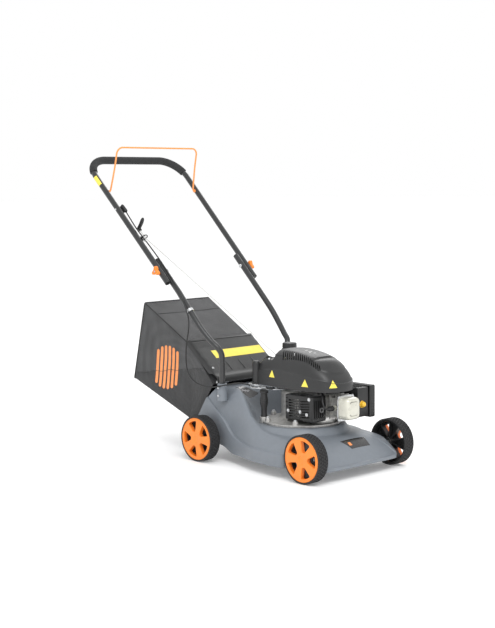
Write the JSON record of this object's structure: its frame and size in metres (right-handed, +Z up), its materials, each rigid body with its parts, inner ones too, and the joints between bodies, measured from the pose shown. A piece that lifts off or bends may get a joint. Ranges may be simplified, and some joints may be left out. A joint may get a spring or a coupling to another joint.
{
  "type": "push lawn mower",
  "caption": "Walk-behind petrol rotary mower with a steel deck, folding tubular handle, stop bail, recoil starter and rear grass bag.",
  "frame": {"origin": "on the ground, midway along and across the whole machine", "axes": "+Y towards the operator, +X to the machine's left, +Z up"},
  "size_m": [0.4574, 1.181, 1.06],
  "materials": {
    "deck_paint": "satin grey-blue paint on sheet steel",
    "tube_paint": "gloss black paint on steel tube",
    "bail_paint": "orange coated steel rod",
    "black_plastic": "moulded black plastic with a fine texture",
    "orange_plastic": "glossy orange plastic",
    "yellow_plastic": "soft yellow plastic",
    "tyre_rubber": "black rubber",
    "foam": "closed-cell black foam",
    "steel": "zinc-plated steel",
    "alloy": "cast aluminium",
    "cream_paint": "pale baked finish on pressed steel",
    "cloth": "woven grey mesh cloth",
    "cord": "braided white cord",
    "cable_cover": "black plastic cable cover"
  },
  "bodies": {
    "chassis": {"deck_shell": "deck_paint", "lower_handle_right": "tube_paint", "lower_handle_left": "tube_paint", "handle_bolt_right": "steel", "handle_bolt_left": "steel", "flap_hinge_rod": "steel", "flap_spring": "steel", "crankcase": "alloy", "cylinder": "alloy", "rocker_cover": "cream_paint", "spark_plug": "steel", "spark_plug_boot": "black_plastic", "muffler_guard": "black_plastic", "muffler": "steel", "carburettor": "alloy", "air_filter_housing": "black_plastic", "air_filter_element": "black_plastic", "fuel_tank": "cream_paint", "engine_cover": "black_plastic", "ignition_coil": "black_plastic", "control_bracket": "steel", "oil_filler_tube": "black_plastic", "starter_rope": "cord", "brake_cable": "cable_cover", "cable_clip": "steel"},
    "front_axle_set": {"front_axle": "steel"},
    "rear_axle_set": {"rear_axle": "steel"},
    "wheel_set_front_right": {"wheel_front_right": "tyre_rubber", "wheel_cover_front_right": "orange_plastic"},
    "wheel_set_front_left": {"wheel_front_left": "tyre_rubber", "wheel_cover_front_left": "orange_plastic"},
    "wheel_set_rear_right": {"wheel_rear_right": "tyre_rubber", "wheel_cover_rear_right": "orange_plastic"},
    "wheel_set_rear_left": {"wheel_rear_left": "tyre_rubber", "wheel_cover_rear_left": "orange_plastic"},
    "handle": {"upper_handle": "tube_paint", "foam_grip": "foam", "rope_guide": "black_plastic", "cable_anchor": "black_plastic"},
    "knob_right_set": {"knob_right": "orange_plastic"},
    "knob_left_set": {"knob_left": "orange_plastic"},
    "bail": {"bail_lever": "bail_paint"},
    "brake": {"brake_lever": "steel"},
    "starter_grip": {"starter_handle": "black_plastic", "rope_stub": "cord"},
    "recoil_pulley": {"starter_pulley": "black_plastic"},
    "crank": {"crankshaft": "steel", "flywheel": "steel", "blade_adapter": "steel", "blade": "steel", "blade_bolt": "steel"},
    "flap": {"rear_flap": "black_plastic"},
    "collector": {"grass_bag": "cloth", "bag_frame": "steel"},
    "cap": {"fuel_cap": "black_plastic"},
    "oil_stick": {"dipstick": "black_plastic"},
    "primer": {"primer_bulb": "yellow_plastic"},
    "filter_lid": {"air_filter_cover": "black_plastic"}
  },
  "joints": [
    {"name": "front_axle_height", "type": "slide", "parent": "chassis", "child": "front_axle_set", "axis": [0, 0, 1], "range_m": [-0.03, 0]},
    {"name": "rear_axle_height", "type": "slide", "parent": "chassis", "child": "rear_axle_set", "axis": [0, 0, 1], "range_m": [-0.03, 0]},
    {"name": "wheel_spin_front_right", "type": "hinge", "parent": "front_axle_set", "child": "wheel_set_front_right", "pos_m": [-0.2037, -0.51385, 0.0766], "axis": [1, 0, 0], "continuous": true},
    {"name": "wheel_spin_front_left", "type": "hinge", "parent": "front_axle_set", "child": "wheel_set_front_left", "pos_m": [0.2037, -0.51385, 0.0766], "axis": [1, 0, 0], "continuous": true},
    {"name": "wheel_spin_rear_right", "type": "hinge", "parent": "rear_axle_set", "child": "wheel_set_rear_right", "pos_m": [-0.2037, -0.02245, 0.0766], "axis": [1, 0, 0], "continuous": true},
    {"name": "wheel_spin_rear_left", "type": "hinge", "parent": "rear_axle_set", "child": "wheel_set_rear_left", "pos_m": [0.2037, -0.02245, 0.0766], "axis": [1, 0, 0], "continuous": true},
    {"name": "handle_fold", "type": "hinge", "parent": "chassis", "child": "handle", "pos_m": [0, 0.17585, 0.6295], "axis": [1, 0, 0], "range_deg": [0, 140], "deforming": ["starter_rope", "brake_cable"]},
    {"name": "knob_turn_right", "type": "hinge", "parent": "chassis", "child": "knob_right_set", "pos_m": [-0.2219, 0.17585, 0.6295], "axis": [1, 0, 0], "range_deg": [0, 180]},
    {"name": "knob_turn_left", "type": "hinge", "parent": "chassis", "child": "knob_left_set", "pos_m": [0.2219, 0.17585, 0.6295], "axis": [1, 0, 0], "range_deg": [0, 180]},
    {"name": "bail_squeeze", "type": "hinge", "parent": "handle", "child": "bail", "pos_m": [0, 0.45755, 0.9006], "axis": [-1, 0, 0], "range_deg": [0, 50], "stiffness_Nm_per_rad": 0.5, "springref_deg": -17.19},
    {"name": "brake_release", "type": "hinge", "parent": "chassis", "child": "brake", "pos_m": [-0.07, -0.20115, 0.25], "axis": [0, 0, 1], "range_deg": [0, 25]},
    {"name": "starter_pull", "type": "slide", "parent": "handle", "child": "starter_grip", "axis": [0.4511, 0.5514, 0.7018], "range_m": [0, 0.3], "stiffness_N_per_m": 20, "springref_m": -0.1, "deforming": ["rope_stub"]},
    {"name": "recoil_turn", "type": "hinge", "parent": "chassis", "child": "recoil_pulley", "pos_m": [0, -0.29715, 0.3028], "axis": [0, 0, 1], "range_deg": [-600, 0]},
    {"name": "crank_spin", "type": "hinge", "parent": "chassis", "child": "crank", "pos_m": [0, -0.29715, 0.15], "axis": [0, 0, 1], "continuous": true},
    {"name": "flap_lift", "type": "hinge", "parent": "chassis", "child": "flap", "pos_m": [0, -0.04615, 0.262], "axis": [1, 0, 0], "range_deg": [0, 38], "stiffness_Nm_per_rad": 0.3, "springref_deg": -34.38},
    {"name": "bag_lift_off", "type": "slide", "parent": "chassis", "child": "collector", "axis": [0, 1, 0], "range_m": [0, 0.35]},
    {"name": "fuel_cap_lift", "type": "slide", "parent": "chassis", "child": "cap", "axis": [0, 0, 1], "range_m": [0, 0.06]},
    {"name": "dipstick_lift", "type": "slide", "parent": "chassis", "child": "oil_stick", "axis": [0, 0, 1], "range_m": [0, 0.1]},
    {"name": "primer_press", "type": "slide", "parent": "chassis", "child": "primer", "axis": [0, 1, 0], "range_m": [0, 0.005], "stiffness_N_per_m": 400, "springref_m": -0.001},
    {"name": "filter_cover_pull", "type": "slide", "parent": "chassis", "child": "filter_lid", "axis": [1, 0, 0], "range_m": [0, 0.05]}
  ],
  "couplings": [
    {"joint": "brake_release", "follows": "bail_squeeze", "ratio": 0.5},
    {"joint": "recoil_turn", "follows": "starter_pull", "rad_per_m": -34}
  ]
}
